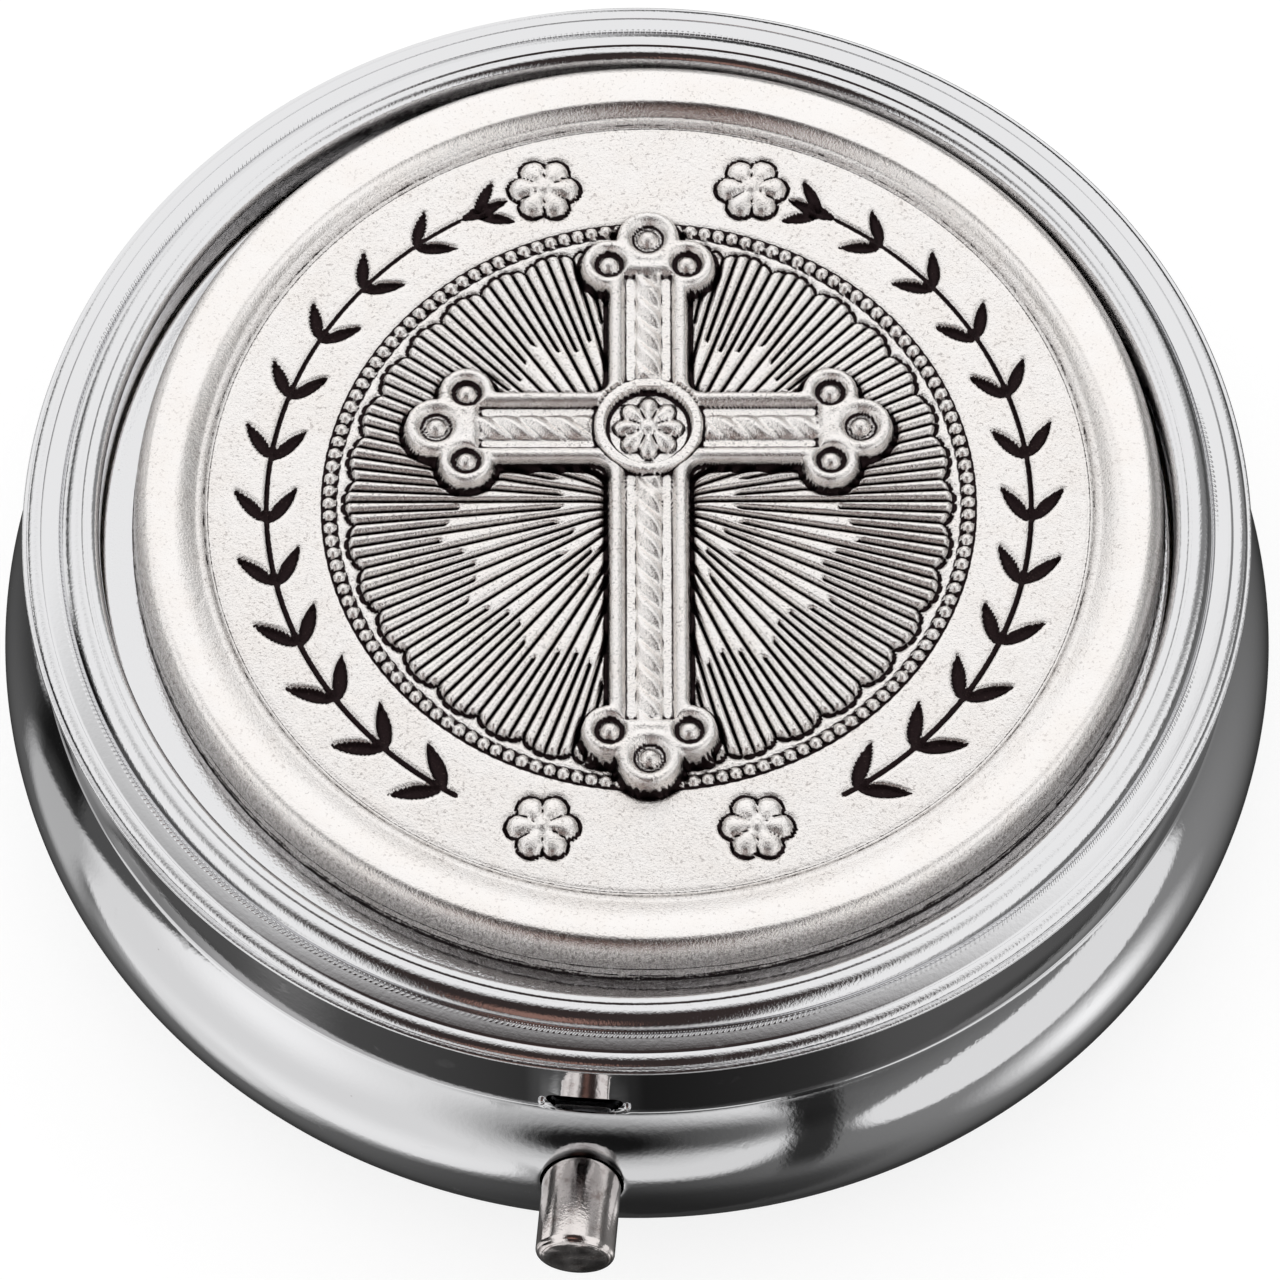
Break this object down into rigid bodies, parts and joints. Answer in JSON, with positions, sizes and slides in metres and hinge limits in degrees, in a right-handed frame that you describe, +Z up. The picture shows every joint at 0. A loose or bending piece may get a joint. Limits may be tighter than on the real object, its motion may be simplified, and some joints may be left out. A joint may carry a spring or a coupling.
{
  "type": "rosary box",
  "caption": "Round pressed-metal keepsake box: bulging chromed bowl, low sprung lid on a rear hinge, cast antique-silver medallion and a front push button that frees the latch.",
  "frame": {"origin": "Centre of the bowl's flat base, where the box rests.", "axes": "+Z up, -Y towards the push button at the front, +Y towards the hinge, +X to the right of someone who faces the button."},
  "size_m": [0.0508, 0.054, 0.0172],
  "materials": {
    "chrome_plate": "mirror-bright chromium plating on pressed steel, with fine orange peel and light scratches",
    "antique_silver": "cast zinc alloy with a warm antique-silver plating, blackened in the recesses and burnished on the raised work",
    "bright_steel": "bright nickel-plated pressed steel",
    "nickel_plate": "nickel-plated turned brass, slightly worn",
    "spring_steel": "plain spring steel",
    "adhesive": "clear amber epoxy"
  },
  "bodies": {
    "base": {"base_bowl": "chrome_plate", "inner_pan": "bright_steel", "base_hinge_leaf": "bright_steel", "hinge_pin": "bright_steel", "hinge_spring": "spring_steel", "spring_bracket": "bright_steel", "button_spring": "spring_steel"},
    "lid": {"lid_shell": "chrome_plate", "lid_inner_plate": "bright_steel", "medallion": "antique_silver", "medallion_adhesive": "adhesive", "lid_hinge_leaf": "bright_steel", "lid_striker": "bright_steel"},
    "button": {"push_button": "nickel_plate", "latch_slide": "spring_steel", "slide_washer": "bright_steel"}
  },
  "joints": [
    {"name": "lid_hinge", "type": "hinge", "parent": "base", "child": "lid", "pos_m": [0, 0.02425, 0.0135], "axis": [-1, 0, 0], "range_deg": [0, 95]},
    {"name": "button_press", "type": "slide", "parent": "base", "child": "button", "axis": [0, 1, 0], "range_m": [0, 0.001], "stiffness_N_per_m": 600, "springref_m": -0.001, "deforming": ["button_spring"]}
  ]
}
